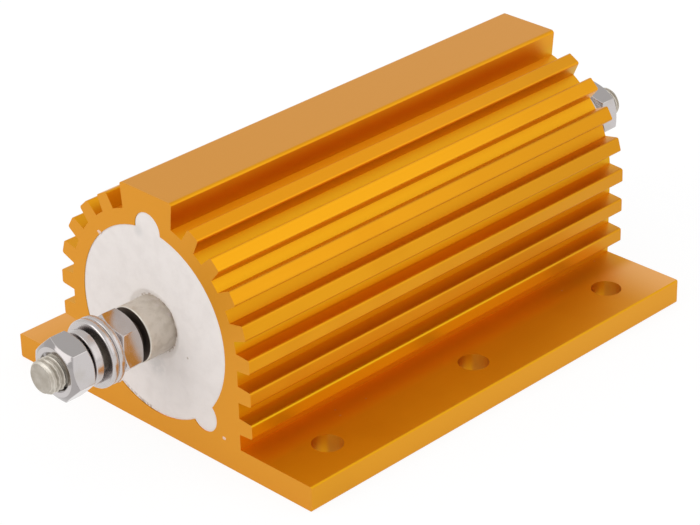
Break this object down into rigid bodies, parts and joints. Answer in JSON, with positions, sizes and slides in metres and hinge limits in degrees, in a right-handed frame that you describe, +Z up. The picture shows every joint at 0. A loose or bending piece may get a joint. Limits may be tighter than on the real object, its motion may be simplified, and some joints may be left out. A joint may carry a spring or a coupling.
{
  "type": "aluminium housed power resistor",
  "caption": "Chassis-mount wirewound power resistor in a finned gold-anodised aluminium extrusion, potted with cement, with a threaded stud terminal at each end.",
  "frame": {"origin": "centre of the mounting face, midway between the two sawn ends and the two flanges, on the surface that the part is bolted to", "axes": "+X along the extrusion and its studs, +Z up out of the mounting face, +Y across the flanges"},
  "size_m": [0.1392, 0.072, 0.0443],
  "materials": {
    "anodised_housing": "satin gold-orange anodised, with fine drawing lines along the extrusion",
    "potting_cement": "matt off-white potting cement, faintly mottled",
    "core_ceramic": "unglazed steatite",
    "coated_wire": "resistance wire under a thin grey-green coat",
    "pressed_steel": "bright pressed sheet",
    "tinned_stud": "dull warm-grey tin plate, scuffed",
    "nickel_plate": "bright nickel plate"
  },
  "bodies": {
    "root": {"housing": "anodised_housing", "cement_fill": "potting_cement", "ceramic_core": "core_ceramic", "resistance_winding": "coated_wire", "left_end_cap": "pressed_steel", "right_end_cap": "pressed_steel", "left_terminal_stud": "tinned_stud", "right_terminal_stud": "tinned_stud", "left_inner_nut": "nickel_plate", "right_inner_nut": "nickel_plate", "left_inner_washer": "nickel_plate", "right_inner_washer": "nickel_plate", "left_outer_washer": "nickel_plate", "right_outer_washer": "nickel_plate", "left_spring_washer": "nickel_plate", "right_spring_washer": "nickel_plate", "left_outer_nut": "nickel_plate", "right_outer_nut": "nickel_plate"}
  },
  "joints": []
}
